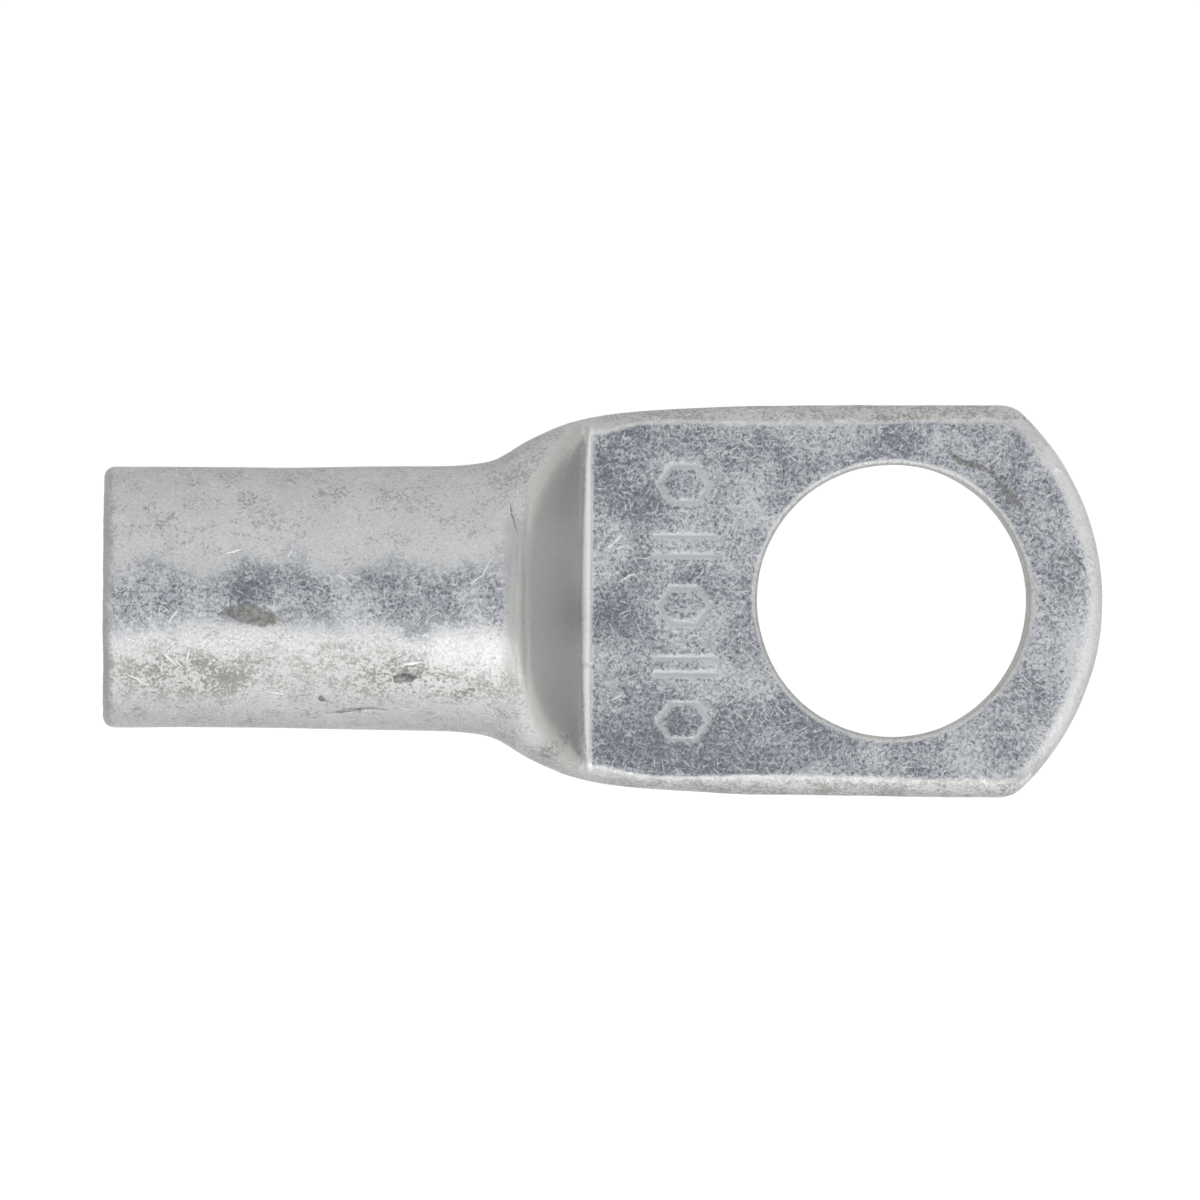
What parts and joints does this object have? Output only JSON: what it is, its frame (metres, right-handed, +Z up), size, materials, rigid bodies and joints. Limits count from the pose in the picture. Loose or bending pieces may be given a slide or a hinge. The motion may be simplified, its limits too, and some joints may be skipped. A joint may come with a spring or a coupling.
{
  "type": "ring terminal",
  "caption": "Crimp ring terminal made from metal tube: round open barrel for the wire, pressed down to a flat rounded palm with a hole for a stud.",
  "frame": {"origin": "on the stud hole's axis, in the seating face under the palm", "axes": "+Z up along the stud, away from the seating face; the barrel points along -X and its mouth opens that way; +Y across the palm"},
  "size_m": [0.0309, 0.0122, 0.008],
  "materials": {
    "tin_plate": "satin tin plating on copper, mottled"
  },
  "bodies": {
    "root": {"terminal_body": "tin_plate"}
  },
  "joints": []
}
